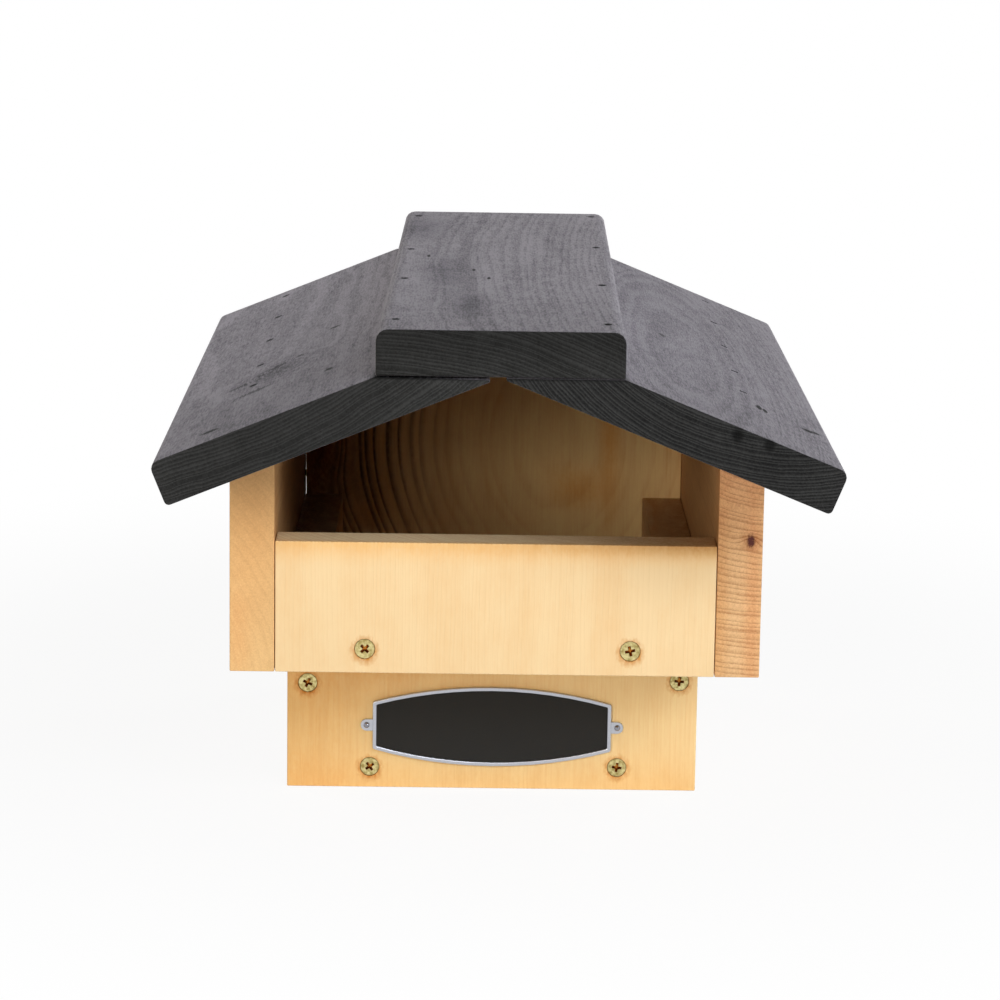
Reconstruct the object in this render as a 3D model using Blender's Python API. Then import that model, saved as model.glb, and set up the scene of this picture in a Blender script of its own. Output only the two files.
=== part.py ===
"""Open-fronted nest box: a roofed housing with a low front panel and, set back under it, a nest tub.

Metres, +Z up. The front faces -Y, and +X is to the right as seen from the front. The origin is on the
rear face of the back wall, on the centre line, level with the lower edges of the side panels.
"""

import math

import bmesh
import bpy
from mathutils import Matrix, Vector

# Boards, all planed: one stock for the housing and the tub, one for the roof.
board = 0.018
roof_board = 0.0175

# Housing: two side panels, the front panel between them, the ledge floor and the back wall.
inner_width = 0.178
housing_depth = 0.274
side_height = 0.1005
front_panel_height = 0.054

# Nest tub: it starts this far behind the front and reaches this far below and into the housing.
tub_setback = 0.098
tub_drop = 0.076
tub_rise = 0.022

# The back wall's left edge is cut out of square: it stands this far off the side panel at its foot.
back_wall_slack = 0.0014

# Roof: two sloped boards, cut level at the top, with the ridge board across both cuts.
# The left board's cut falls away towards its tip, which leaves a narrow wedge under the ridge board.
roof_pitch = math.radians(22)
side_overhang = 0.0177
front_overhang = 0.090
tip_height = 0.0009
left_cut_fall = 0.0007
eave_top_radius = 0.0035
eave_bottom_radius = 0.0018
ridge_top_radius = 0.0045
ridge_rear_shift = 0.004
ridge_end_clearance = 0.001

# Fits, broken edges and cutters.
gap = 0.0003
arris = 0.0004
overrun = 0.004
merge_distance = 0.000004
arc_steps = 4
arris_steps = 2
arris_least_angle = math.radians(40)

# Countersunk cross-recess wood screws in two lengths.
screw_long = 0.040
screw_short = 0.030
screw_head_radius = 0.004
screw_rim = 0.0004
screw_shank_radius = 0.0017
screw_point = 0.005
screw_sink = 0.0003
recess_reach = 0.0021
recess_arm = 0.0012
recess_depth = 0.0022
recess_taper_share = 0.45
screw_sides = 16
front_screw_turns = [math.radians(angle) for angle in (45, 12, -24, -4, 35, -8)]
hidden_screw_turn = math.radians(37)

# Brads with a narrow T head, set below the surface.
brad_length = 0.030
brad_thickness = 0.001
brad_shaft_width = 0.0012
brad_head_width = 0.0022
brad_head_height = 0.001
brad_sink = 0.0007

# Hole for hanging the box on a screw in the wall.
hanging_hole_radius = 0.0035
hanging_hole_below_apex = 0.030
hanging_hole_sides = 24

# Name plate, left bare: a barrel outline with a raised rim, and a lug with a pin at each end.
plate_length = 0.1032
plate_end_height = 0.021
plate_middle_height = 0.0352
plate_thickness = 0.002
plate_rim_width = 0.0016
plate_recess = 0.0007
plate_corner_radius = 0.0012
plate_field_radius = 0.0008
plate_edge_round = 0.0003
plate_round_limit_share = 0.45
plate_above_tub_base = 0.0282
plate_arc_steps = 12
lug_length = 0.0052
lug_half_height = 0.0025
lug_round_share = 0.98
lug_thickness = 0.0012
pin_head_radius = 0.0013
pin_head_height = 0.0009
pin_shank_radius = 0.0006
pin_length = 0.010
pin_sides = 12

# Places of the screws that show, left and right, each drilled by eye. Across, they are shares of the
# inner width, or of the tub wall's thickness, and upwards, of the board or of the tub's height.
panel_screw_across_shares = (-0.295, 0.307)
panel_screw_height_shares = (0.55, 0.57)
wall_screw_across_shares = (0.51, 0.56)
wall_screw_height_shares = (0.473, 0.499)
floor_screw_across_shares = (-0.297, 0.306)
floor_screw_height_shares = (0.51, 0.556)

# Places along the boards, as shares of the board that each row of fasteners runs along.
floor_rear_screw_share = 0.30
ledge_screw_share = 0.50
tub_side_screw_shares = (0.25, 0.75)
back_edge_screw_shares = (0.30, 0.74)
tub_back_screw_shares = (0.25, 0.75)
roof_brad_shares = (0.03, 0.213, 0.455, 0.70, 0.94)
ridge_left_brad_shares = (0.07, 0.376, 0.626, 0.95)
ridge_right_brad_shares = (0.055, 0.342, 0.664, 0.967)
ridge_brad_side_share = 0.86

# Places that follow from the sizes above.
half_inner = inner_width / 2
half_outer = half_inner + board
front = -housing_depth
tub_front_face = front + tub_setback
tub_inner_front = tub_front_face + board
tub_base = -tub_drop
back_face = -board
tan_pitch = math.tan(roof_pitch)
apex = side_height + half_inner * tan_pitch
slope_length = (half_outer + side_overhang) / math.cos(roof_pitch)
cut_run = roof_board / math.sin(roof_pitch)
roof_front = front - front_overhang
roof_depth = housing_depth + front_overhang
fit_half = half_inner - gap
tub_wall_middle = fit_half - board / 2
vertical_gap = gap / math.cos(roof_pitch)

PINE_PALE = "#F3D0A0"
PINE_WARM = "#DDA96C"
ROOF_PAINT = "#57565A"
ZINC_YELLOW = "#C9C48C"
NAIL_STEEL = "#3A3A3C"
PLATE_METAL = "#C9C9CC"


def clear_scene():
    for item in list(bpy.data.objects):
        bpy.data.objects.remove(item, do_unlink=True)


def linear(value):
    """One sRGB channel, 0 to 1, as the linear value that a shader takes."""
    return value / 12.92 if value <= 0.04045 else ((value + 0.055) / 1.055) ** 2.4


def principled(name, hex_colour, roughness, metallic=0.0):
    material = bpy.data.materials.new(name)
    material.use_nodes = True
    shader = material.node_tree.nodes["Principled BSDF"]
    channels = [int(hex_colour[i : i + 2], 16) / 255 for i in (1, 3, 5)]
    shader.inputs["Base Color"].default_value = (*[linear(c) for c in channels], 1)
    shader.inputs["Roughness"].default_value = roughness
    shader.inputs["Metallic"].default_value = metallic
    return material


def scene_object(name, mesh, material=None):
    item = bpy.data.objects.new(name, mesh)
    bpy.context.scene.collection.objects.link(item)
    if material:
        mesh.materials.append(material)
    return item


def mesh_of(name, bm, smooth=False):
    bmesh.ops.recalc_face_normals(bm, faces=bm.faces)
    mesh = bpy.data.meshes.new(name)
    bm.to_mesh(mesh)
    bm.free()
    if smooth:
        mesh.shade_smooth()
        mesh.set_sharp_from_angle(angle=arris_least_angle)
    return mesh


def arc_corner(before, corner, after, radius, steps):
    """The points of the arc that rounds a corner between its two neighbours."""
    corner = Vector(corner)
    to_before = (Vector(before) - corner).normalized()
    to_after = (Vector(after) - corner).normalized()
    half_angle = to_before.angle(to_after) / 2
    tangent = radius / math.tan(half_angle)
    centre = corner + (to_before + to_after).normalized() * radius / math.sin(half_angle)
    first = corner + to_before * tangent - centre
    last = corner + to_after * tangent - centre
    return [centre + first.slerp(last, i / steps) * radius for i in range(steps + 1)]


def rounded(outline, radii, steps=arc_steps):
    """The outline with an arc at each corner that radii, by corner number, gives a radius."""
    points = []
    for number, corner in enumerate(outline):
        if number in radii:
            before = outline[number - 1]
            after = outline[(number + 1) % len(outline)]
            points += arc_corner(before, corner, after, radii[number], steps)
        else:
            points.append(Vector(corner))
    return points


def extruded(outline, start, end):
    """A bmesh of the XZ outline run along Y from start to end."""
    bm = bmesh.new()
    face = bm.faces.new([bm.verts.new((x, start, z)) for x, z in outline])
    made = bmesh.ops.extrude_face_region(bm, geom=[face])["geom"]
    verts = [part for part in made if isinstance(part, bmesh.types.BMVert)]
    bmesh.ops.translate(bm, verts=verts, vec=(0, end - start, 0))
    return bm


def break_edges(item, width=arris):
    bevel = item.modifiers.new("broken_edges", "BEVEL")
    bevel.width = width
    bevel.segments = arris_steps
    bevel.limit_method = "ANGLE"
    bevel.angle_limit = arris_least_angle


def board_piece(name, outline, start, end, material):
    """A board: its XZ outline run along Y, with its sharp edges broken."""
    item = scene_object(name, mesh_of(name, extruded(outline, start, end), smooth=True), material)
    break_edges(item)
    return item


def lofted(sections):
    """A bmesh through the (outline, y) sections, which have as many points each, closed at both ends."""
    bm = bmesh.new()
    rings = [[bm.verts.new((x, y, z)) for x, z in outline] for outline, y in sections]
    for ring, following in zip(rings, rings[1:]):
        for n in range(len(ring)):
            bm.faces.new([ring[n - 1], ring[n], following[n], following[n - 1]])
    bm.faces.new(rings[0])
    bm.faces.new(rings[-1])
    return bm


def rectangle(left, right, low, high):
    return [(left, low), (right, low), (right, high), (left, high)]


def mirrored(outline, side):
    return [(x * side, z) for x, z in outline]


def turned(profile, sides):
    """A bmesh of the (radius, height) profile turned about Z. Its ends lie on the axis."""
    bm = bmesh.new()
    verts = [bm.verts.new((radius, 0, height)) for radius, height in profile]
    edges = [bm.edges.new(pair) for pair in zip(verts, verts[1:])]
    bmesh.ops.spin(bm, geom=verts + edges, axis=(0, 0, 1), cent=(0, 0, 0), angle=math.tau, steps=sides)
    bmesh.ops.remove_doubles(bm, verts=bm.verts, dist=merge_distance)
    return bm


def hidden_tool(name, mesh):
    tool = scene_object(name, mesh)
    tool.hide_render = True
    tool.display_type = "WIRE"
    return tool


def add_boolean(item, tool, operation):
    boolean = item.modifiers.new(tool.name, "BOOLEAN")
    boolean.operation = operation
    boolean.solver = "EXACT"
    boolean.object = tool


def evaluated_mesh(name, item):
    """A mesh of its own from the object with its modifiers applied. The object is removed.

    Where a cut's corner falls on an edge, the cut leaves two corners in one place, which are merged.
    """
    bpy.context.view_layer.update()
    graph = bpy.context.evaluated_depsgraph_get()
    mesh = bpy.data.meshes.new_from_object(item.evaluated_get(graph))
    mesh.name = name
    bm = bmesh.new()
    bm.from_mesh(mesh)
    bmesh.ops.remove_doubles(bm, verts=bm.verts, dist=merge_distance)
    bm.to_mesh(mesh)
    bm.free()
    bpy.data.objects.remove(item, do_unlink=True)
    return mesh


# Each board's name with the bmeshes of the holes that its fasteners need.
holes = {}


def add_hole(boards, bm, place):
    """Notes the cutter for every board that the fastener passes through."""
    bmesh.ops.transform(bm, matrix=place, verts=bm.verts)
    mesh = mesh_of("hole", bm)
    for name in boards:
        holes.setdefault(name, []).append(mesh)


def drill_boards():
    """Joins each board's cutters into one tool and cuts them from the board."""
    for name, meshes in holes.items():
        bm = bmesh.new()
        for mesh in meshes:
            bm.from_mesh(mesh)
        tool = hidden_tool(name + "_holes", mesh_of(name + "_holes", bm))
        add_boolean(bpy.data.objects[name], tool, "DIFFERENCE")


def facing(place, outward, turn=0.0):
    """The frame of a fastener whose head is at place and looks along outward."""
    rotation = Vector(outward).to_track_quat("Z", "Y").to_matrix().to_4x4()
    return Matrix.Translation(place) @ rotation @ Matrix.Rotation(turn, 4, "Z")


def screw_profile(length, grow=0.0, above=0.0):
    """The screw's profile from the middle of its head to its point, or its hole's when grown."""
    head = screw_head_radius + grow
    shank = screw_shank_radius + grow
    cone_end = -screw_rim - (screw_head_radius - screw_shank_radius) - grow
    return [
        (0, above),
        (head, above),
        (head, -screw_rim - grow),
        (shank, cone_end),
        (shank, screw_point - length),
        (0, -length - grow),
    ]


def cross_recess():
    """A tapered cross that cuts the driver recess from a screw head."""
    reach = recess_reach
    arm = recess_arm / 2
    quarter = [(arm, reach), (-arm, reach), (-arm, arm)]
    points = [Matrix.Rotation(math.pi / 2 * n, 2) @ Vector(p) for n in range(4) for p in quarter]
    slope = (1 - recess_taper_share) / recess_depth
    bm = bmesh.new()
    rings = []
    for height in (overrun, -recess_depth):
        scale = 1 + slope * height
        rings.append([bm.verts.new((p.x * scale, p.y * scale, height)) for p in points])
    bm.faces.new(rings[0])
    bm.faces.new(list(reversed(rings[1])))
    for n in range(len(points)):
        after = (n + 1) % len(points)
        bm.faces.new([rings[0][n], rings[1][n], rings[1][after], rings[0][after]])
    return mesh_of("cross_recess", bm)


def screw_mesh(name, length):
    body = mesh_of("blank", turned(screw_profile(length), screw_sides), smooth=True)
    blank = scene_object("blank", body)
    tool = hidden_tool("recess_tool", cross_recess())
    add_boolean(blank, tool, "DIFFERENCE")
    mesh = evaluated_mesh(name, blank)
    bpy.data.objects.remove(tool, do_unlink=True)
    mesh.materials.clear()
    mesh.materials.append(zinc)
    return mesh


def add_screw(name, place, outward, mesh, length, boards, turn=0.0):
    """A screw sunk a little below the face at place, and its hole in each board."""
    outward = Vector(outward)
    seat = Vector(place) - outward * screw_sink
    frame = facing(seat, outward, turn)
    item = scene_object(name, mesh)
    item.matrix_world = frame
    hole = turned(screw_profile(length, gap, overrun), screw_sides)
    add_hole(boards, hole, frame)


def brad_outline(grow=0.0, above=0.0):
    head = brad_head_width / 2 + grow
    shaft = brad_shaft_width / 2 + grow
    under_head = -brad_head_height - grow
    end = -brad_length - grow
    return [
        (-head, above),
        (-head, under_head),
        (-shaft, under_head),
        (-shaft, end),
        (shaft, end),
        (shaft, under_head),
        (head, under_head),
        (head, above),
    ]


def add_brad(name, place, boards, heading=0.0):
    """A brad driven straight down at place, its head below the surface."""
    top = Vector(place) - Vector((0, 0, brad_sink))
    seat = Matrix.Translation(top) @ Matrix.Rotation(heading, 4, "Z")
    half = brad_thickness / 2
    item = scene_object(name, mesh_of(name, extruded(brad_outline(), -half, half)), nail_steel)
    item.matrix_world = seat
    hole = extruded(brad_outline(gap, overrun), -half - gap, half + gap)
    add_hole(boards, hole, seat)


def along(start, end, share):
    return start + (end - start) * share


def side_name(side):
    return "right" if side > 0 else "left"


def build_housing():
    for side in (-1, 1):
        inner = side_height - vertical_gap
        outer = inner - board * tan_pitch
        outline = [(half_inner, 0), (half_outer, 0), (half_outer, outer), (half_inner, inner)]
        board_piece("side_panel_" + side_name(side), mirrored(outline, side), front, 0, pine_warm)
    outline = rectangle(-fit_half, fit_half, 0, front_panel_height)
    board_piece("front_panel", outline, front, front + board, pine_pale)
    outline = rectangle(-fit_half, fit_half, 0, board)
    board_piece("ledge_floor", outline, front + board + gap, tub_front_face - gap, pine_pale)
    top = apex - vertical_gap
    shoulder = top - fit_half * tan_pitch
    foot = [(back_wall_slack - fit_half, tub_base), (fit_half, tub_base)]
    gable = [(fit_half, shoulder), (0, top), (-fit_half, shoulder)]
    board_piece("back_wall", foot + gable, back_face, 0, pine_pale)


def build_tub():
    outline = rectangle(-fit_half, fit_half, tub_base, tub_rise)
    board_piece("tub_front", outline, tub_front_face, tub_inner_front, pine_pale)
    start = tub_inner_front + gap
    end = back_face - gap
    for side in (-1, 1):
        outline = rectangle(fit_half - board, fit_half, tub_base, tub_rise)
        board_piece("tub_side_" + side_name(side), mirrored(outline, side), start, end, pine_pale)
    half_floor = fit_half - board - gap
    outline = rectangle(-half_floor, half_floor, tub_base, tub_base + board)
    board_piece("tub_floor", outline, start, end, pine_pale)


def build_roof():
    """The roof boards, with their upper ends cut level at the height of the underside's apex."""
    down = Vector((math.cos(roof_pitch), -math.sin(roof_pitch)))
    up = Vector((math.sin(roof_pitch), math.cos(roof_pitch)))
    eave = Vector((0, apex)) + down * slope_length
    slope = [eave, eave + up * roof_board, (cut_run, apex)]
    radii = {0: eave_bottom_radius, 1: eave_top_radius}
    for side, fall in ((-1, left_cut_fall), (1, 0)):
        tip = (tip_height + fall) / tan_pitch
        cut = [(tip, apex - fall), (tip, apex - fall - tip_height)]
        points = mirrored(rounded(slope + cut, radii), side)
        board_piece("roof_board_" + side_name(side), points, roof_front, 0, roof_paint)


def ridge_frame():
    """The ridge board's frame, on the middle of its front end, turned to put its rear end off centre."""
    turn = -math.atan2(ridge_rear_shift, roof_depth)
    place = Matrix.Translation((0, roof_front + ridge_end_clearance / 2, apex + gap))
    return place @ Matrix.Rotation(turn, 4, "Z"), turn


def build_ridge():
    outline = rectangle(-cut_run, cut_run, 0, roof_board)
    points = rounded(outline, {2: ridge_top_radius, 3: ridge_top_radius})
    ridge = board_piece("ridge_board", points, 0, roof_depth - ridge_end_clearance, roof_paint)
    ridge.matrix_world = ridge_frame()[0]


def visible_screws():
    """The screws that show from the front, each left at its own turn by the driver."""
    forward = (0, -1, 0)
    for column, side in enumerate((-1, 1)):
        hand = side_name(side)
        panel_place = (
            inner_width * panel_screw_across_shares[column],
            front,
            board * panel_screw_height_shares[column],
        )
        wall_place = (
            along(fit_half - board, fit_half, wall_screw_across_shares[column]) * side,
            tub_front_face,
            along(tub_base, tub_rise, wall_screw_height_shares[column]),
        )
        floor_place = (
            inner_width * floor_screw_across_shares[column],
            tub_front_face,
            tub_base + board * floor_screw_height_shares[column],
        )
        rows = [
            ("front_panel_screw_", panel_place, ["front_panel", "ledge_floor"]),
            ("tub_front_upper_screw_", wall_place, ["tub_front", "tub_side_" + hand]),
            ("tub_front_lower_screw_", floor_place, ["tub_front", "tub_floor"]),
        ]
        for row, (name, place, boards) in enumerate(rows):
            turn = front_screw_turns[2 * row + column]
            add_screw(name + hand, place, forward, long_screw, screw_long, boards, turn)


def side_screws():
    """Screws through the side panels into the ledge floor, the tub's walls and the back wall's edges."""
    for side in (-1, 1):
        hand = side_name(side)
        panel = "side_panel_" + hand
        outward = (side, 0, 0)
        middle = along(front + board, tub_front_face, ledge_screw_share)
        place = (half_outer * side, middle, board / 2)
        add_screw("ledge_screw_" + hand, place, outward, long_screw, screw_long, [panel, "ledge_floor"])
        for number, share in enumerate(tub_side_screw_shares, 1):
            place = (half_outer * side, along(tub_inner_front, back_face, share), tub_rise / 2)
            name = "tub_side_screw_" + hand + "_" + str(number)
            boards = [panel, "tub_side_" + hand]
            add_screw(name, place, outward, short_screw, screw_short, boards, hidden_screw_turn * number)
        for number, share in enumerate(back_edge_screw_shares, 1):
            place = (half_outer * side, back_face / 2, side_height * share)
            name = "back_wall_screw_" + hand + "_" + str(number)
            boards = [panel, "back_wall"]
            add_screw(name, place, outward, long_screw, screw_long, boards, -hidden_screw_turn * number)


def rear_screws():
    """Screws through the back wall into the rear edges of the tub's walls and floor."""
    rearward = (0, 1, 0)
    for side in (-1, 1):
        hand = side_name(side)
        for number, share in enumerate(tub_back_screw_shares, 1):
            place = (tub_wall_middle * side, 0, along(tub_base, tub_rise, share))
            name = "tub_rear_screw_" + hand + "_" + str(number)
            boards = ["back_wall", "tub_side_" + hand]
            add_screw(name, place, rearward, long_screw, screw_long, boards, hidden_screw_turn * number)
        place = (inner_width * floor_rear_screw_share * side, 0, tub_base + board / 2)
        boards = ["back_wall", "tub_floor"]
        add_screw("floor_rear_screw_" + hand, place, rearward, long_screw, screw_long, boards)


def roof_brads():
    """Brads through the roof boards into the tops of the side panels."""
    across = half_inner + board / 2
    roof_top = apex + roof_board / math.cos(roof_pitch)
    for side in (-1, 1):
        hand = side_name(side)
        for number, share in enumerate(roof_brad_shares, 1):
            place = (across * side, along(front, 0, share), roof_top - across * tan_pitch)
            boards = ["roof_board_" + hand, "side_panel_" + hand]
            add_brad("roof_brad_" + hand + "_" + str(number), place, boards)


def ridge_brads():
    """Brads through the ridge board into the level cuts of the roof boards."""
    frame, turn = ridge_frame()
    rows = {-1: ridge_left_brad_shares, 1: ridge_right_brad_shares}
    for side, shares in rows.items():
        hand = side_name(side)
        for number, share in enumerate(shares, 1):
            on_ridge = Vector((cut_run * ridge_brad_side_share * side, roof_depth * share, roof_board))
            boards = ["ridge_board", "roof_board_" + hand]
            add_brad("ridge_brad_" + hand + "_" + str(number), frame @ on_ridge, boards, turn)


def hanging_hole():
    profile = [
        (0, board + overrun),
        (hanging_hole_radius, board + overrun),
        (hanging_hole_radius, -overrun),
        (0, -overrun),
    ]
    frame = facing((0, 0, apex - hanging_hole_below_apex), (0, -1, 0))
    add_hole(["back_wall"], turned(profile, hanging_hole_sides), frame)


def barrel_outline(inset, corner_radius):
    """The plate's outline, or one that lies inset inside it: straight ends between two shallow arcs."""
    half = plate_length / 2
    rise = (plate_middle_height - plate_end_height) / 2
    outer_radius = (half**2 + rise**2) / (2 * rise)
    centre = plate_middle_height / 2 - outer_radius
    radius = outer_radius - inset
    sweep = math.asin((half - inset) / radius)
    angles = [along(-sweep, sweep, n / plate_arc_steps) for n in range(plate_arc_steps + 1)]
    upper = [(-radius * math.sin(a), centre + radius * math.cos(a)) for a in angles]
    lower = [(-x, -z) for x, z in upper]
    outline = upper + lower
    last = len(upper) - 1
    corners = (0, last, last + 1, 2 * last + 1)
    return rounded(outline, {n: corner_radius for n in corners})


def plate_height():
    return tub_base + plate_above_tub_base


def lug_outline(side):
    """A lug with a round end, from inside the rim to its full length past the plate's end."""
    half = lug_half_height
    start = plate_length / 2 - plate_rim_width / 2
    end = plate_length / 2 + lug_length
    outline = rectangle(start, end, -half, half)
    radius = half * lug_round_share
    return mirrored(rounded(outline, {1: radius, 2: radius}), side)


def pin_middle():
    return plate_length / 2 + lug_length - lug_half_height


def build_plate():
    """A flat rim, stepped down to the field inside it. The lugs are thinner than the plate."""
    seat = tub_front_face - gap
    edge = barrel_outline(0, plate_corner_radius)
    field = barrel_outline(plate_rim_width, plate_field_radius)
    face = -plate_thickness
    bm = lofted([(edge, 0), (edge, face), (field, face), (field, face + plate_recess)])
    plate = scene_object("blank_plate", mesh_of("blank_plate", bm, smooth=True), plate_metal)
    plate.location = (0, seat, plate_height())
    break_edges(plate, min(plate_edge_round, plate_recess * plate_round_limit_share))
    for side in (-1, 1):
        hand = side_name(side)
        bm = extruded(lug_outline(side), -lug_thickness, 0)
        lug = hidden_tool("lug_" + hand, mesh_of("lug_" + hand, bm))
        lug.location = plate.location
        add_boolean(plate, lug, "UNION")
        add_pin(side, seat)


def add_pin(side, seat):
    """A round-headed pin through the lug into the tub's front."""
    hand = side_name(side)
    dome = [
        (pin_head_radius * math.sin(a), pin_head_height * math.cos(a))
        for a in (math.pi / 2 * n / arc_steps for n in range(arc_steps + 1))
    ]
    profile = dome + [(pin_shank_radius, 0), (pin_shank_radius, -pin_length), (0, -pin_length)]
    frame = facing((pin_middle() * side, seat - lug_thickness - gap, plate_height()), (0, -1, 0))
    mesh = mesh_of("pin", turned(profile, pin_sides), smooth=True)
    pin = scene_object("plate_pin_" + hand, mesh, plate_metal)
    pin.matrix_world = frame
    bore = pin_shank_radius + gap
    profile = [(0, overrun), (bore, overrun), (bore, -pin_length - gap), (0, -pin_length - gap)]
    add_hole(["blank_plate", "tub_front"], turned(profile, pin_sides), frame)


clear_scene()
pine_pale = principled("pale_pine", PINE_PALE, 0.6)
pine_warm = principled("warm_pine", PINE_WARM, 0.6)
roof_paint = principled("anthracite_glaze", ROOF_PAINT, 0.75)
zinc = principled("yellow_zinc", ZINC_YELLOW, 0.35, 0.9)
nail_steel = principled("nail_steel", NAIL_STEEL, 0.5, 0.8)
plate_metal = principled("plate_metal", PLATE_METAL, 0.3, 0.9)
long_screw = screw_mesh("long_screw", screw_long)
short_screw = screw_mesh("short_screw", screw_short)
build_housing()
build_tub()
build_roof()
build_ridge()
build_plate()
visible_screws()
side_screws()
rear_screws()
roof_brads()
ridge_brads()
hanging_hole()
drill_boards()
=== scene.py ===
"""Looks of the open-fronted nest box: planed pine boards, a glazed roof, screws, brads and a bare plate.

Metres, +Z up. The front faces -Y, and +X is to the right as seen from the front. A board's wood is a
solid pattern of growth rings round the pith of its log, so that its faces, edges and ends agree.
"""

import math

import bpy
from mathutils import Matrix, Vector


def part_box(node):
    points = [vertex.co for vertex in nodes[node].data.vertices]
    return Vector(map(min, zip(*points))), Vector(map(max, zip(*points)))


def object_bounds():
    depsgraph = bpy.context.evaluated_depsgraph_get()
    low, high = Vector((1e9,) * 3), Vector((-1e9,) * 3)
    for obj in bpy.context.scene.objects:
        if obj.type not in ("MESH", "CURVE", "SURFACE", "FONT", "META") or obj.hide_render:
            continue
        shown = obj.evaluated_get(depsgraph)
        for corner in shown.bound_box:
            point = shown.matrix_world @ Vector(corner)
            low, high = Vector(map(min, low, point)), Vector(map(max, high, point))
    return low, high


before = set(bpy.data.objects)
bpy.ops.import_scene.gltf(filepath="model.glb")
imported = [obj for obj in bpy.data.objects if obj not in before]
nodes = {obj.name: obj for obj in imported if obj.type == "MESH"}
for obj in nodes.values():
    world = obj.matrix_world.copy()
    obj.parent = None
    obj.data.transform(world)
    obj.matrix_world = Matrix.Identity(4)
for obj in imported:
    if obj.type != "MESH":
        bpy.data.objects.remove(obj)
cad_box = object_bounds()
mm = 0.001

# The photograph's camera, in the frame of the part.
camera_place = (-0.01098, -1.68570, 0.35906)
camera_pitch = math.radians(11.494)
camera_yaw = math.radians(0.4946)
camera_roll = math.radians(0.854)
camera_lens_mm = 129.6
camera_sensor_mm = 36.0

# Faces of the boards, and corners of the plate, by which knots, marks and paint are placed.
front_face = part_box("front_panel")[0].y
panel_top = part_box("front_panel")[1].z
tub_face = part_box("tub_front")[0].y
inner_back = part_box("back_wall")[0].y
ridge_low, ridge_top = (corner.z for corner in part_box("ridge_board"))
roof_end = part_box("roof_board_right")[0].y
plate_low, plate_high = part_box("blank_plate")


def linear(value):
    """One sRGB channel, 0 to 1, as the linear value that a shader takes."""
    return value / 12.92 if value <= 0.04045 else ((value + 0.055) / 1.055) ** 2.4


def colour(hex_value):
    """An sRGB hex value as the linear colour, with its alpha, that a shader takes."""
    return (*[linear(int(hex_value[i : i + 2], 16) / 255) for i in (1, 3, 5)], 1)


def add(tree, kind, inputs=None, **settings):
    """Adds a node. Its settings are set, and each input takes a value, an output or another node's output."""
    made = tree.nodes.new("ShaderNode" + kind)
    for name, value in settings.items():
        setattr(made, name, value)
    for socket, value in (inputs or {}).items():
        if isinstance(value, bpy.types.Node):
            value = next(output for output in value.outputs if output.enabled)
        if isinstance(value, bpy.types.NodeSocket):
            tree.links.new(value, made.inputs[socket])
        else:
            made.inputs[socket].default_value = value
    return made


def empty_material(name):
    """A material with nothing but its output, and its node tree."""
    material = bpy.data.materials.new(name)
    material.use_nodes = True
    tree = material.node_tree
    for item in list(tree.nodes):
        if item.bl_idname != "ShaderNodeOutputMaterial":
            tree.nodes.remove(item)
    return material, tree


def give_output(tree, shader):
    tree.links.new(shader.outputs[0], tree.nodes["Material Output"].inputs["Surface"])


# Turns that bring each grain direction to the pattern's own Z, and the axis that each runs along.
grain_turns = {"X": (0, -math.pi / 2, 0), "Y": (math.pi / 2, 0, 0), "Z": (0, 0, 0)}

# How dark a year's growth is, from its spring wood to the summer wood that ends it: thin lines in bare
# wood, and broad soft swells where a glaze covers them.
summer_lines = ((0.0, 0.22), (0.09, 0.0), (0.52, 0.14), (0.84, 0.80), (0.95, 1.0), (1.0, 0.3))
broad_bands = ((0.0, 0.25), (0.12, 0.0), (0.40, 0.12), (0.72, 0.9), (0.90, 1.0), (1.0, 0.3))
soft_swells = ((0.0, 0.1), (0.30, 0.05), (0.62, 0.75), (0.82, 1.0), (1.0, 0.15))

# How the rings waver: the size of the waves across the grain, how fast they change along it as against
# across it, and their share.
ring_waves = ((28 * mm, 0.2, 1.0), (6 * mm, 0.3, 0.16))

# Years come wide and narrow in turn: how often that changes, and by how many years it shifts a ring.
year_change, year_shift = 0.6, 1.4

# Size across the grain, and how many times as long along it, of fibres, bands of colour and mottle.
fibre_size, fibre_stretch = 0.8 * mm, 26
band_size, band_stretch = 14 * mm, 12
mottle_size, mottle_stretch = 7 * mm, 1.6

# How far plain wood leans to its ring colour, on a face and on an end, and how much further a knot goes.
face_lean, end_lean = 0.14, 0.10
face_knot_lean, end_knot_lean = 0.55, 0.6

# How squarely a surface cuts the grain where end grain starts to show, and where it shows alone.
cut_starts, cut_alone = 0.2, 0.7

wood_relief = 0.3 * mm


def nearness(tree, place, centre, radii, turn=0.0):
    """1 at the centre of a soft spot with these radii, turned about +Z, and falling to nothing outside it."""
    local = add(tree, "Mapping", {"Vector": place, "Location": centre, "Rotation": (0, 0, turn),
                                  "Scale": radii}, vector_type="TEXTURE")
    square = add(tree, "VectorMath", {0: local, 1: local}, operation="DOT_PRODUCT").outputs["Value"]
    return add(tree, "Math", {0: math.exp(-1), 1: square}, operation="POWER")


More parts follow.
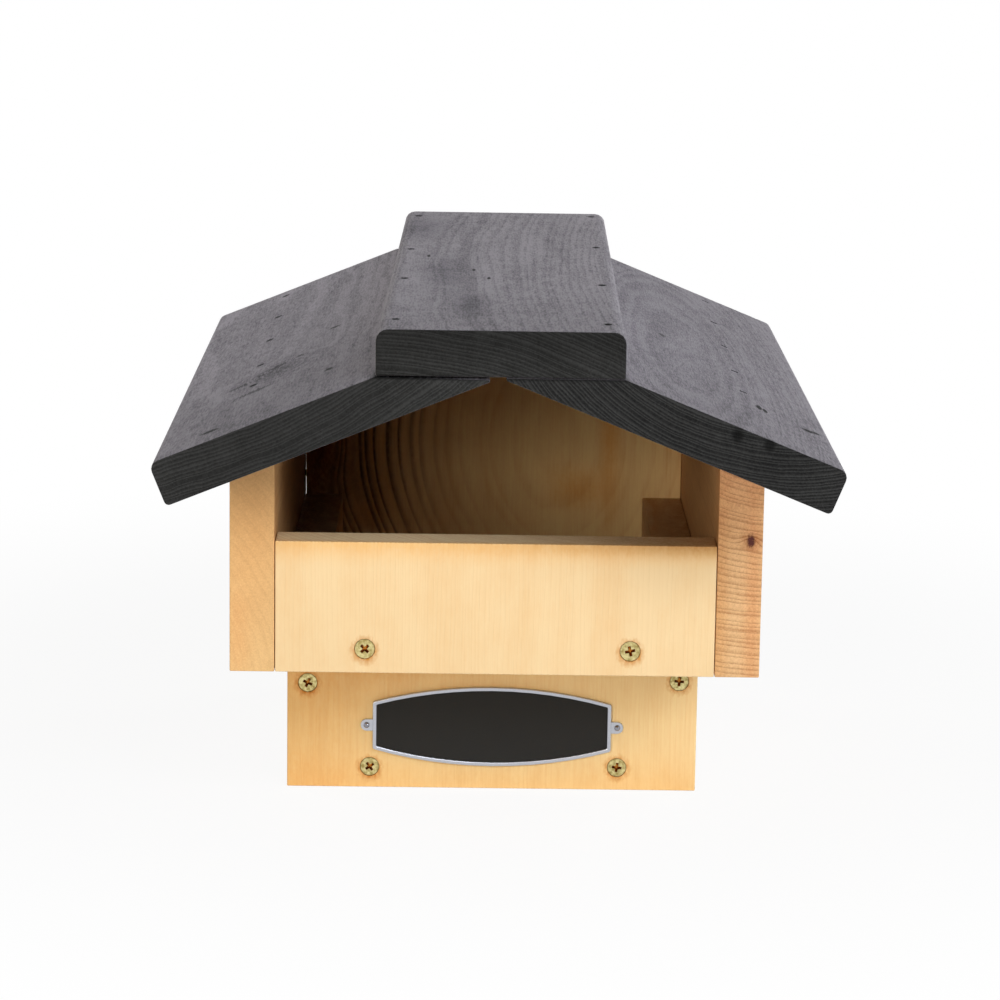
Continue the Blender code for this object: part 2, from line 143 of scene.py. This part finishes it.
def growth_rings(tree, place, log, wood, season_shades):
    """How dark the year's growth is at each point, 0 to 1, and how near a knot the point is."""
    parts = add(tree, "SeparateXYZ", {"Vector": log})
    along = add(tree, "Math", {0: parts.outputs["Z"], 1: wood["bow_at"]}, operation="SUBTRACT")
    square = add(tree, "Math", {0: along, 1: along}, operation="MULTIPLY")
    bent = add(tree, "Math", {0: square, 1: wood["bow"], 2: parts.outputs["X"]}, operation="MULTIPLY_ADD")
    across = add(tree, "CombineXYZ", {"X": bent, "Y": parts.outputs["Y"]})
    radius = add(tree, "VectorMath", {0: across}, operation="LENGTH").outputs["Value"]
    radius = add(tree, "Math", {0: square, 1: wood["cup"], 2: radius}, operation="MULTIPLY_ADD")
    for size, stretch, share in ring_waves:
        drawn = add(tree, "Mapping", {"Vector": log, "Scale": (1, 1, stretch)})
        waver = add(tree, "TexNoise", {"Vector": drawn, "W": wood["seed"], "Scale": 1 / size, "Detail": 2.0},
                    noise_dimensions="4D")
        waver = add(tree, "Math", {0: waver, 1: 0.5}, operation="SUBTRACT")
        radius = add(tree, "Math", {0: waver, 1: wood["waves"] * share, 2: radius}, operation="MULTIPLY_ADD")
    knot = 0.0
    for centre, radii, push in wood["knots"]:
        near = nearness(tree, place, centre, radii)
        radius = add(tree, "Math", {0: near, 1: push, 2: radius}, operation="MULTIPLY_ADD")
        knot = add(tree, "Math", {0: near, 1: knot}, operation="MAXIMUM")
    years = add(tree, "Math", {0: radius, 1: wood["spacing"]}, operation="DIVIDE")
    uneven = add(tree, "TexNoise", {"W": years, "Scale": year_change, "Detail": 1.0}, noise_dimensions="1D")
    years = add(tree, "Math", {0: uneven, 1: year_shift, 2: years}, operation="MULTIPLY_ADD")
    season = add(tree, "Math", {0: years}, operation="FRACT")
    shades = add(tree, "ValToRGB", {"Fac": season})
    ramp = shades.color_ramp
    ramp.elements.remove(ramp.elements[1])
    for number, (position, shade) in enumerate(season_shades):
        stop = ramp.elements[0] if number == 0 else ramp.elements.new(position)
        stop.position, stop.color = position, (shade, shade, shade, 1)
    return shades.outputs["Color"], knot


def grain_noise(tree, log, seed, size, stretch, detail=2.0, roughness=0.5):
    """Noise of this size across the grain, drawn out along it, from about -0.5 to 0.5."""
    drawn = add(tree, "Mapping", {"Vector": log, "Scale": (1, 1, 1 / stretch)})
    noise = add(tree, "TexNoise", {"Vector": drawn, "W": seed, "Scale": 1 / size, "Detail": detail,
                                   "Roughness": roughness}, noise_dimensions="4D")
    return add(tree, "Math", {0: noise, 1: 0.5}, operation="SUBTRACT")


def timber(name, grain, pith, spacing, looks, contrast=1.0, end_contrast=1.0, bow=0.0, cup=0.0, bow_at=0.0,
           waves=5 * mm, knots=(), marks=(), seed=0.0):
    """A board's wood, with its growth rings round a pith beside the board.

    The rings bow to one side, close in on the pith like a cup and waver along the log. Fibres and broad
    bands of colour run along the grain, pores speckle it, the end grain has colours of its own, and each
    mark tints the wood round one place.
    """
    wood = dict(spacing=spacing, bow=bow, cup=cup, bow_at=bow_at, waves=waves, knots=knots, seed=seed)
    material, tree = empty_material(name)
    place = add(tree, "TexCoord").outputs["Object"]
    turned = add(tree, "Mapping", {"Vector": place, "Rotation": grain_turns[grain]})
    log = add(tree, "Mapping", {"Vector": turned, "Location": (-pith[0], -pith[1], 0)})
    rings, knot = growth_rings(tree, place, log, wood, looks["season"])
    fibres = grain_noise(tree, log, seed, fibre_size, fibre_stretch, detail=3.0, roughness=0.7)
    bands = grain_noise(tree, log, seed + 3, band_size, band_stretch)
    mottle = grain_noise(tree, log, seed + 6, mottle_size, mottle_stretch, detail=4.0, roughness=0.6)
    pores = grain_noise(tree, log, seed + 9, looks["pore_size"], looks["pore_stretch"], detail=1.0)
    frayed = add(tree, "Math", {0: pores, 1: mottle})

    depth = add(tree, "Math", {0: rings, 1: looks["rings"] * contrast, 2: face_lean},
                operation="MULTIPLY_ADD")
    for noise, share in ((fibres, looks["fibres"]), (bands, looks["bands"]), (mottle, looks["mottle"]),
                         (pores, looks["pores"]), (knot, face_knot_lean)):
        depth = add(tree, "Math", {0: noise, 1: share, 2: depth}, operation="MULTIPLY_ADD")
    flat = add(tree, "Mix", {"Factor": depth, "A": colour(looks["face"]), "B": colour(looks["ring"])},
               data_type="RGBA")
    end_depth = add(tree, "Math", {0: rings, 1: looks["end_rings"] * end_contrast, 2: end_lean},
                    operation="MULTIPLY_ADD")
    for noise, share in ((mottle, looks["end_mottle"]), (pores, looks["end_pores"]),
                         (knot, end_knot_lean)):
        end_depth = add(tree, "Math", {0: noise, 1: share, 2: end_depth}, operation="MULTIPLY_ADD")
    cut = add(tree, "Mix", {"Factor": end_depth, "A": colour(looks["end"]), "B": colour(looks["end_ring"])},
              data_type="RGBA")
    facing = add(tree, "SeparateXYZ", {"Vector": add(tree, "NewGeometry").outputs["True Normal"]})
    cut_across = add(tree, "Math", {0: facing.outputs[grain]}, operation="ABSOLUTE")
    cut_across = add(tree, "MapRange", {"Value": cut_across, "From Min": cut_starts, "From Max": cut_alone})
    shade = add(tree, "Mix", {"Factor": cut_across, "A": flat, "B": cut}, data_type="RGBA")
    for spot in marks:
        near = nearness(tree, place, spot["centre"], spot["radii"], spot["turn"])
        edge = add(tree, "Math", {0: frayed, 1: spot["ragged"], 2: 1.0}, operation="MULTIPLY_ADD")
        edge = add(tree, "Math", {0: near, 1: edge}, operation="MULTIPLY")
        half = spot["softness"] / 2
        inside = add(tree, "MapRange", {"Value": edge, "From Min": 0.5 - half, "From Max": 0.5 + half,
                                        "To Max": spot["strength"]})
        if spot["ringed"]:
            inside = add(tree, "Math", {0: inside, 1: rings}, operation="MULTIPLY")
        shade = add(tree, "Mix", {"Factor": inside, "A": shade, "B": colour(spot["tint"])}, data_type="RGBA",
                    blend_type="MULTIPLY")

    height = add(tree, "Math", {0: rings, 1: looks["ring_relief"], 2: fibres}, operation="MULTIPLY_ADD")
    height = add(tree, "Math", {0: pores, 1: looks["pore_relief"], 2: height}, operation="MULTIPLY_ADD")
    bump = add(tree, "Bump", {"Height": height, "Strength": looks["relief"], "Distance": wood_relief})
    shader = add(tree, "BsdfPrincipled", {"Base Color": shade, "Roughness": looks["roughness"], "Normal": bump,
                                          "Specular IOR Level": looks["specular"]})
    give_output(tree, shader)
    return material


# Planed spruce, untreated: pale cream, quiet on its faces, with clear warm rings on its end grain.
pale_looks = dict(
    finish="planed_spruce", season=summer_lines,
    face="#FBDCAC", ring="#EDBB7C", end="#FFEBC8", end_ring="#CFA06A",
    rings=0.60, end_rings=0.75, fibres=0.65, bands=0.75, mottle=0.30, end_mottle=0.4,
    pores=0.10, end_pores=0.4, pore_size=1.1 * mm, pore_stretch=1.8, roughness=0.62, specular=0.2,
    relief=0.25, ring_relief=0.6, pore_relief=0.0,
)

# The same wood with wide years whose summer wood shows as soft brown bands.
figured_looks = dict(pale_looks, face="#FFE1A4", ring="#D69656", season=broad_bands, specular=0.1)

# Planed pine, untreated: honey coloured, with speckled end grain that drinks the light.
warm_looks = dict(
    finish="planed_pine", season=summer_lines,
    face="#EDBE82", ring="#B5763F", end="#EFBE82", end_ring="#B0723E",
    rings=0.60, end_rings=0.55, fibres=0.50, bands=0.75, mottle=0.35, end_mottle=0.3,
    pores=0.2, end_pores=0.7, pore_size=0.55 * mm, pore_stretch=1.8, roughness=0.62, specular=0.4,
    relief=0.3, ring_relief=0.3, pore_relief=0.4,
)

# Anthracite glaze brushed on rough wood: a dull violet grey that lies thin on the faces and soaks into
# the end grain, where it is nearly black and the hard summer wood shows as finer, lighter lines. The faces'
# grey is painted lighter than the glaze itself, as a painted sheen for the grazing light that its raised
# fibres catch. The brush marks are drawn coarser than real ones, which are too fine for a picture of the
# whole box.
glaze_looks = dict(
    finish="anthracite_glazed_softwood", season=soft_swells,
    face="#B6B0B6", ring="#5E5A60", end="#1F1F1E", end_ring="#414140",
    rings=0.35, end_rings=0.5, fibres=0.8, bands=0.9, mottle=0.9, end_mottle=0.6,
    pores=1.5, end_pores=0.7, pore_size=0.7 * mm, pore_stretch=6.0, roughness=0.6, specular=0.05,
    relief=0.8, ring_relief=0.1, pore_relief=1.5,
)

# Tints, which multiply the wood's colour: warm stain along an edge, wood bruised by a screw, darker heartwood
# that also carries painted shade by the back wall's left corner, and what shows dark through the glaze, which
# also serves as painted shade in the hollows over the brads.
stain, bruise, heartwood_and_shade, soot_and_shade = "#FFECD0", "#D4A052", "#8A5A38", "#1C1C1E"


def mark(centre, radii, tint, strength=1.0, softness=1.0, ragged=0.4, turn=0.0, ringed=False):
    """One place where the wood, or only its summer wood, is tinted.

    It has soft or crisp edges, which the wood's mottle makes ragged.
    """
    return dict(centre=centre, radii=radii, tint=tint, strength=strength, softness=softness, ragged=ragged,
                turn=turn, ringed=ringed)


def screw_marks(*names):
    """The bruised wood round each screw's head."""
    marks = []
    for name in names:
        low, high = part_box(name)
        centre = ((low.x + high.x) / 2, low.y, (low.z + high.z) / 2 - 0.4 * mm)
        marks.append(mark(centre, (5.5 * mm, 6 * mm, 5.8 * mm), bruise, strength=0.9, softness=0.5, ragged=1.2))
    return marks


def brad_marks(stem):
    """Painted shade in the dark hollow over each sunk brad whose name starts so.

    It is drawn coarser than the real one, which is only as wide as the brad's head.
    """
    marks = []
    for name in nodes:
        if name.startswith(stem):
            low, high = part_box(name)
            centre = ((low.x + high.x) / 2, (low.y + high.y) / 2, high.z)
            marks.append(mark(centre, (1.9 * mm, 3.2 * mm, 3 * mm), soot_and_shade, softness=0.5, ragged=0.8))
    return marks


# The shut joint under the ridge board, where no light comes.
under_ridge = mark((0, roof_end, ridge_low), (0.2, 0.02, 1.3 * mm), "#161616", softness=0.6)

# Short black dashes in the top of the ridge board.
ridge_dashes = [
    mark((x, y, ridge_top), (0.8 * mm, 4 * mm, 2 * mm), soot_and_shade, softness=0.3)
    for x, y in ((-0.0297, -0.157), (-0.0104, -0.199), (-0.0042, -0.223))
]

# Dark streaks round the knot of the left roof board: the middle, the two radii and the turn of each.
knot_streaks = [
    mark(middle, (long, short, 9 * mm), soot_and_shade, strength=0.7, softness=0.7, ragged=4.0, turn=turn)
    for middle, long, short, turn in (
        ((-0.101, -0.255, 0.114), 8 * mm, 3.0 * mm, 0.6),
        ((-0.092, -0.243, 0.118), 9 * mm, 3.2 * mm, 0.8),
        ((-0.084, -0.234, 0.121), 6 * mm, 2.5 * mm, 0.5),
        ((-0.097, -0.283, 0.116), 7 * mm, 3.0 * mm, 0.4),
    )
]

tub_screws = [f"tub_front_{row}_screw_{side}" for row in ("upper", "lower") for side in ("left", "right")]
boards = {
    "front_panel": dict(
        grain="Z", pith=(0.21, -0.05), spacing=1.3 * mm, contrast=0.05, end_contrast=0.8, seed=1.0,
        looks=dict(pale_looks, face="#F9DAA8", end="#FFE9BE", end_ring="#D8A870", fibres=0.42, bands=0.95,
                   mottle=0.5, specular=0.05),
        marks=[
            mark((0, front_face - 1 * mm, panel_top), (0.3, 4 * mm, 0.0065), stain, softness=0.9, ragged=0.6),
            # Painted shade: the right end of the panel's top edge, under the right roof, is darkened.
            mark((0.10, front_face + 9 * mm, panel_top), (0.07, 0.02, 0.004), "#C4AC92"),
        ] + screw_marks("front_panel_screw_left", "front_panel_screw_right"),
    ),
    "tub_front": dict(
        grain="Z", pith=(-0.13, -0.05), spacing=1.7 * mm, looks=dict(pale_looks, face="#FFE2A8", fibres=0.9),
        contrast=0.12, seed=2.0,
        marks=[
            mark((-0.090, tub_face, -0.03), (0.045, 0.03, 0.2), "#FDEFDA", ragged=0.5),
            # Painted shade: the top band, under the housing, is darker and redder.
            mark((-0.045, tub_face, -0.005), (0.06, 0.03, 0.022), "#FFE6C8", ragged=1.0),
            mark((0, tub_face, -0.076), (0.3, 0.03, 0.014), "#F8ECDC"),
        ] + screw_marks(*tub_screws),
    ),
    "back_wall": dict(
        grain="Z", pith=(0.030, 0.028), spacing=4.6 * mm, looks=figured_looks, contrast=0.22, cup=4.5,
        bow_at=0.050, waves=4 * mm, seed=3.0,
        knots=[((-0.078, inner_back, 0.046), (0.010, 0.02, 0.012), 6 * mm)],
        marks=[
            # Heartwood round the knot with painted shade over it, darker towards the back wall's left corner.
            mark((-0.086, inner_back, 0.045), (0.024, 0.009, 0.06), heartwood_and_shade),
            mark((-0.056, inner_back, 0.045), (0.021, 0.009, 0.06), "#6E4526", ringed=True),
            mark((0.055, inner_back, 0.055), (0.005, 0.009, 0.04), "#F7DFC4"),
            mark((0.040, inner_back, 0.026), (0.014, 0.009, 0.010), "#F7DFC4"),
        ],
    ),
    "side_panel_left": dict(
        grain="Y", pith=(-0.20, 0.02), spacing=3.6 * mm, contrast=0.3, end_contrast=0.14, seed=4.0,
        looks=dict(warm_looks, end="#F8CE8E", end_pores=0.4, end_mottle=0.2),
        marks=[
            # Painted shade: the panel's inner face, inside the box, is darkened and greyed.
            mark((-0.089, -0.08, 0.05), (0.01, 0.12, 0.1), "#857660"),
            # Painted shade: the upper part of the front end, under the roof, is darker and redder.
            mark((-0.098, front_face, 0.065), (0.02, 0.02, 0.05), "#F4E4D6"),
            mark((-0.104, front_face, 0.012), (0.005, 0.02, 0.02), "#FFF5EE", ragged=2.0),
        ],
    ),
    "side_panel_right": dict(
        grain="Y", pith=(0.110, -0.120), spacing=2.2 * mm, contrast=0.3, end_contrast=0.85, seed=5.0,
        looks=dict(warm_looks, end="#F1C690", end_ring="#A5682F"), waves=3 * mm,
        knots=[((0.1022, front_face, 0.0566), (0.004, 0.05, 0.003), 3 * mm)],
        marks=[
            # Painted shade: the panel's inner face, inside the box, is darkened and greyed.
            mark((0.089, -0.10, 0.05), (0.01, 0.2, 0.1), "#E8E0D8"),
            mark((0.1022, front_face, 0.0566), (1.6 * mm, 0.02, 2.9 * mm), "#6E3624", softness=0.6, ragged=1.5),
            mark((0.1035, front_face, 0.020), (0.0035, 0.02, 0.06), "#F8E2D4", ragged=1.0),
            mark((0.090, front_face, 0.020), (0.0035, 0.02, 0.06), "#FBECD8", ragged=1.0),
            # Painted shade: the upper part of the front end, under the roof, is darker and redder.
            mark((0.098, front_face, 0.095), (0.02, 0.02, 0.035), "#F4DED8", ragged=1.0),
        ],
    ),
    "tub_side_left": dict(
        grain="Y", pith=(-0.08, 0.05), spacing=3 * mm, looks=pale_looks, seed=6.0,
        # Painted shade: the top of the tub's side wall, deep in the box, is darkened.
        marks=[mark((-0.098, -0.09, 0.022), (0.04, 0.2, 0.02), "#6A4A30")],
    ),
    "tub_side_right": dict(
        grain="Y", pith=(0.09, 0.07), spacing=3 * mm, looks=pale_looks, seed=7.0,
        # Painted shade: the top of the tub's side wall, deep in the box, is darkened.
        marks=[mark((0.098, -0.09, 0.022), (0.04, 0.2, 0.02), "#A88C6C")],
    ),
    "tub_floor": dict(grain="X", pith=(0.10, -0.09), spacing=3 * mm, looks=pale_looks, seed=8.0),
    "ledge_floor": dict(grain="X", pith=(-0.05, -0.20), spacing=3 * mm, looks=pale_looks, seed=9.0),
    "ridge_board": dict(
        grain="Y", pith=(-0.056, 0.03), spacing=1.4 * mm, looks=glaze_looks, contrast=0.9, bow=-0.24,
        bow_at=-0.20, waves=3 * mm, seed=10.0, marks=brad_marks("ridge_brad") + [
            # Painted shade: the top is darker towards its front end, where it catches less sheen.
            mark((0, -0.364, ridge_top), (0.2, 0.10, 0.01), "#DCDCDC"),
            mark((-0.034, -0.060, ridge_top), (0.012, 0.04, 0.01), "#C8C8CB"),
            mark((-0.022, -0.210, ridge_top), (0.009, 0.05, 0.01), "#C8C8CB"),
            mark((-0.012, -0.300, ridge_top), (0.007, 0.03, 0.01), "#C8C8CB"),
        ] + ridge_dashes,
    ),
    "roof_board_left": dict(
        grain="Y", pith=(-0.21, -0.38), spacing=1.4 * mm, contrast=0.8, seed=11.0,
        # Painted light: the glaze face is lighter on this board than on the ridge, for light that falls on it
        # from the left.
        looks=dict(glaze_looks, face="#C2BCC4", end="#2A2A29", end_ring="#565655", end_rings=0.42,
                   mottle=0.6, bands=0.6),
        knots=[((-0.090, -0.250, 0.119), (0.014, 0.018, 0.02), 7 * mm)],
        marks=brad_marks("roof_brad_left") + [
            under_ridge,
            # Painted shade: the top is darker towards its front end, where it catches less sheen.
            mark((-0.080, -0.360, 0.11), (0.09, 0.15, 0.1), "#C8C8C8"),
            *knot_streaks,
            mark((-0.0685, -0.187, 0.128), (2.5 * mm, 3 * mm, 4 * mm), soot_and_shade, softness=0.5, ragged=0.8),
            mark((-0.0664, -0.300, 0.1285), (2 * mm, 3 * mm, 4 * mm), soot_and_shade, softness=0.5, ragged=0.8),
            mark((-0.110, -0.343, 0.111), (4 * mm, 3 * mm, 4 * mm), soot_and_shade, softness=0.5, ragged=1.0),
        ],
    ),
    "roof_board_right": dict(
        grain="Y", pith=(0.1112, -0.2144), spacing=1.25 * mm, contrast=0.8, cup=0.12, bow_at=-0.22,
        waves=3 * mm, seed=12.0,
        # Painted shade: the glaze face is darker on this board than on the ridge, for how the light falls on
        # it.
        looks=dict(glaze_looks, face="#ABA5AB", end="#1A1A1A", end_ring="#464645", end_rings=0.62),
        marks=[
            dict(under_ridge, strength=0.6),
            # Painted shade: the top is darker towards its front end, where it catches less sheen.
            mark((0.080, -0.364, 0.115), (0.1, 0.10, 0.1), "#E6E6E6"),
            mark((0.1024, -0.291, 0.114), (1.5 * mm, 6 * mm, 4 * mm), "#0C0C0C", softness=0.3),
            mark((0.1046, -0.2935, 0.1132), (1.2 * mm, 5 * mm, 4 * mm), "#0C0C0C", softness=0.3),
            mark((0.1212, -0.2995, 0.1064), (3 * mm, 3 * mm, 4 * mm), soot_and_shade, softness=0.5, ragged=1.0),
            mark((0.1242, -0.297, 0.1052), (2.5 * mm, 2.5 * mm, 4 * mm), soot_and_shade, softness=0.5, ragged=1.0),
            mark((0.0686, -0.197, 0.128), (1.5 * mm, 4 * mm, 4 * mm), soot_and_shade, strength=0.7, softness=0.5),
            mark((0.0889, roof_end, 0.1159), (2.5 * mm, 4 * mm, 3 * mm), soot_and_shade, strength=0.7, softness=0.5),
            mark((0.1010, roof_end, 0.1126), (2.5 * mm, 4 * mm, 3 * mm), soot_and_shade, strength=0.7, softness=0.5),
        ],
    ),
}


# Painted crevice shade: how far a crevice is looked for, and how open to the sky its metal is where the
# painted shade starts, and where it is whole.
crevice_reach, crevice_starts, crevice_whole = 3 * mm, 0.9, 0.45


def metal(name, hex_value, patch_hex, crevice_shade_hex, roughness, metallic, patch_size, specular=0.5):
    """A metal surface whose colour and gloss vary in soft patches, with painted shade in its crevices."""
    material, tree = empty_material(name)
    place = add(tree, "TexCoord").outputs["Object"]
    patches = add(tree, "TexNoise", {"Vector": place, "Scale": 1 / patch_size, "Detail": 3.0})
    patches = add(tree, "MapRange", {"Value": patches, "From Min": 0.35, "From Max": 0.65})
    shade = add(tree, "Mix", {"Factor": patches, "A": colour(hex_value), "B": colour(patch_hex)},
                data_type="RGBA")
    # Painted shade: the metal turns to the crevice colour where ambient occlusion finds it shut in.
    open_sky = add(tree, "AmbientOcclusion", {"Distance": crevice_reach}, only_local=True).outputs["AO"]
    painted_crevice_shade = add(tree, "MapRange", {"Value": open_sky, "From Min": crevice_starts, "From Max": crevice_whole})
    shade = add(tree, "Mix", {"Factor": painted_crevice_shade, "A": shade, "B": colour(crevice_shade_hex)}, data_type="RGBA")
    gloss = add(tree, "MapRange", {"Value": patches, "To Min": roughness * 0.8, "To Max": roughness * 1.25})
    shader = add(tree, "BsdfPrincipled", {"Base Color": shade, "Roughness": gloss, "Metallic": metallic,
                                          "Specular IOR Level": specular})
    give_output(tree, shader)
    return material


def plate_finish():
    """Satin cast zinc, with matte black paint in the field inside the rim.

    The rim and lugs give a soft grey gleam, and the field a flat charcoal with next to no highlight.
    """
    material, tree = empty_material("satin_cast_zinc_with_black_field")
    place = add(tree, "TexCoord").outputs["Object"]
    parts = add(tree, "SeparateXYZ", {"Vector": place})
    facing = add(tree, "SeparateXYZ", {"Vector": add(tree, "NewGeometry").outputs["True Normal"]})
    field_depth, lug_reach, grit_size = 0.5 * mm, 6.0 * mm, 0.6 * mm
    bare_roughness, paint_roughness = 0.3, 0.75
    sunk = add(tree, "Math", {0: parts.outputs["Y"], 1: plate_low.y + field_depth}, operation="GREATER_THAN")
    flat = add(tree, "Math", {0: facing.outputs["Y"], 1: -0.9}, operation="LESS_THAN")
    aside = add(tree, "Math", {0: parts.outputs["X"]}, operation="ABSOLUTE")
    inside = add(tree, "Math", {0: aside, 1: plate_high.x - lug_reach}, operation="LESS_THAN")
    field = add(tree, "Math", {0: sunk, 1: flat}, operation="MULTIPLY")
    field = add(tree, "Math", {0: field, 1: inside}, operation="MULTIPLY")
    grit = add(tree, "TexNoise", {"Vector": place, "Scale": 1 / grit_size, "Detail": 3.0})
    silver = add(tree, "Mix", {"Factor": grit, "A": colour("#C4C6CC"), "B": colour("#A4A7B0")},
                 data_type="RGBA")
    black = add(tree, "Mix", {"Factor": grit, "A": colour("#232322"), "B": colour("#2A2A29")},
                data_type="RGBA")
    shade = add(tree, "Mix", {"Factor": field, "A": silver, "B": black}, data_type="RGBA")
    bare = add(tree, "Math", {0: 1.0, 1: field}, operation="SUBTRACT")
    gloss = add(tree, "MapRange", {"Value": field, "To Min": bare_roughness, "To Max": paint_roughness})
    bump = add(tree, "Bump", {"Height": grit, "Strength": 0.3, "Distance": 0.05 * mm})
    shader = add(tree, "BsdfPrincipled", {"Base Color": shade, "Roughness": gloss, "Metallic": bare,
                                          "Normal": bump, "Specular IOR Level": 0.2})
    give_output(tree, shader)
    return material


def dress(name, material):
    nodes[name].data.materials.clear()
    nodes[name].data.materials.append(material)


def dress_nodes():
    """Gives every node its material. The right roof's brads are glazed over, and take the board's own."""
    for name, facts in boards.items():
        dress(name, timber(facts["looks"]["finish"] + "_" + name, **facts))
    # Yellow passivation over zinc: a greenish straw gleam in cloudy patches. The amber in the recess is painted
    # shade with a painted warm glint in it.
    zinc = metal("yellow_zinc_plated_steel", "#D8CB92", "#94834E", "#AE7430", 0.35, 1.0, 1.4 * mm)
    # Sunk brads that glaze has run over: painted near black as the shade of the hollow each sits in, with no
    # gleam, so each shows as a short dark dash.
    steel = metal("brad_steel_in_painted_shade", "#101011", "#18181A", "#0C0C0C", 0.8, 0.0, 1.0 * mm, specular=0.05)
    # Polished nickel: a clean bright dome that mirrors what is round it. Its colour is painted darker than bare
    # nickel, a painted reflection of the dark below it.
    pin = metal("polished_nickel_pin", "#98989F", "#84848C", "#4A4A50", 0.12, 1.0, 1.0 * mm)
    plate = plate_finish()
    for name in nodes:
        if "screw" in name:
            dress(name, zinc)
        elif "roof_brad_right" in name:
            dress(name, nodes["roof_board_right"].data.materials[0])
        elif "brad" in name:
            dress(name, steel)
        elif "pin" in name:
            dress(name, pin)
        elif "plate" in name:
            dress(name, plate)


def add_camera():
    """The photograph's view: centred, level to within a degree, and about 1.7 m off."""
    forward = Vector((
        math.sin(camera_yaw) * math.cos(camera_pitch),
        math.cos(camera_yaw) * math.cos(camera_pitch),
        -math.sin(camera_pitch),
    ))
    right = Vector((math.cos(camera_yaw), -math.sin(camera_yaw), 0))
    down = forward.cross(right)
    rolled_right = right * math.cos(camera_roll) - down * math.sin(camera_roll)
    rolled_down = right * math.sin(camera_roll) + down * math.cos(camera_roll)
    data = bpy.data.cameras.new("camera")
    data.lens = camera_lens_mm
    data.sensor_width = camera_sensor_mm
    camera = bpy.data.objects.new("camera", data)
    bpy.context.scene.collection.objects.link(camera)
    turn = Matrix((rolled_right, -rolled_down, -forward)).transposed()
    camera.matrix_world = Matrix.Translation(camera_place) @ turn.to_4x4()
    bpy.context.scene.camera = camera


# Soft boxes: azimuth, 0 in front and 90 at right, elevation, width, power and tint. The photograph's main
# light stands in front, a little to the right. A lower and warmer one at left reaches the back wall and
# fills the shadows, and one near the floor fills the right side. The rear ones light the sides and the
# back.
light_target = Vector((0, -0.2, 0.04))
light_distance = 2.2
daylight, warm_fill, plain = (1.0, 1.07, 1.17), (1.0, 0.90, 0.76), (1.0, 1.0, 1.0)
soft_boxes = {
    "main": (14, 28, 0.62, 10.6, daylight),
    "main_right": (30, 26, 0.62, 12.0, daylight),
    "low_left": (-18, 13, 0.62, 15.5, warm_fill),
    "floor_right": (75, 6, 0.62, 8.5, plain),
    "rear_left": (-125, 28, 0.9, 10, plain),
    "rear_right": (125, 28, 0.9, 10, plain),
}


def add_lights():
    for name, (azimuth, elevation, width, power, tint) in soft_boxes.items():
        a, e = math.radians(azimuth), math.radians(elevation)
        outward = Vector((math.sin(a) * math.cos(e), -math.cos(a) * math.cos(e), math.sin(e)))
        data = bpy.data.lights.new(name, "AREA")
        data.size, data.energy, data.color = width, power, tint
        lamp = bpy.data.objects.new(name, data)
        bpy.context.scene.collection.objects.link(lamp)
        turn = outward.to_track_quat("Z", "Y").to_matrix().to_4x4()
        lamp.matrix_world = Matrix.Translation(light_target + outward * light_distance) @ turn


def seen_share(tree):
    """1 for what the camera, a mirror or a glass sees, and 0 for the light that falls on the object."""
    path = add(tree, "LightPath")
    share = path.outputs["Is Camera Ray"]
    for ray in ("Is Glossy Ray", "Is Transmission Ray"):
        share = add(tree, "Math", {0: share, 1: path.outputs[ray]}, operation="MAXIMUM")
    return share


ambient_strength = 0.015
floor_size = 40.0
floor_gap = 0.2 * mm
card_white = 0.9
near_floor, far_floor, near_glow_share = 0.2, 0.55, 0.92


def add_surround():
    """A white surround, and a floor that keeps the object's shadow near it and is plain white further off.

    The floor is matte white card: an even white with no edge to it, and a faint soft shadow.
    """
    world = bpy.data.worlds.new("white_surround")
    bpy.context.scene.world = world
    world.use_nodes = True
    tree = world.node_tree
    strength = add(tree, "MapRange", {"Value": seen_share(tree), "To Min": ambient_strength, "To Max": 1.0})
    background = tree.nodes["Background"]
    background.inputs["Color"].default_value = (1, 1, 1, 1)
    tree.links.new(strength.outputs[0], background.inputs["Strength"])

    bpy.ops.object.select_all(action="DESELECT")
    bpy.ops.mesh.primitive_plane_add(size=floor_size)
    floor = bpy.context.active_object
    floor.name = "floor"
    floor.data.transform(Matrix.Translation((0, 0, cad_box[0][2] - floor_gap)))
    material, tree = empty_material("white_card")
    place = add(tree, "TexCoord").outputs["Object"]
    reach = add(tree, "VectorMath", {0: place}, operation="LENGTH").outputs["Value"]
    share = add(tree, "MapRange", {"Value": reach, "From Min": near_floor, "From Max": far_floor,
                                   "To Min": near_glow_share, "To Max": 1.0}, interpolation_type="SMOOTHSTEP")
    share = add(tree, "Math", {0: seen_share(tree), 1: share}, operation="MULTIPLY")
    card = add(tree, "BsdfDiffuse", {"Color": (card_white, card_white, card_white, 1)})
    glow = add(tree, "Emission", {"Strength": 1.0})
    give_output(tree, add(tree, "MixShader", {0: share, 1: card, 2: glow}))
    floor.data.materials.append(material)


dress_nodes()
add_camera()
add_lights()
add_surround()
bpy.context.scene.view_settings.view_transform = "Standard"
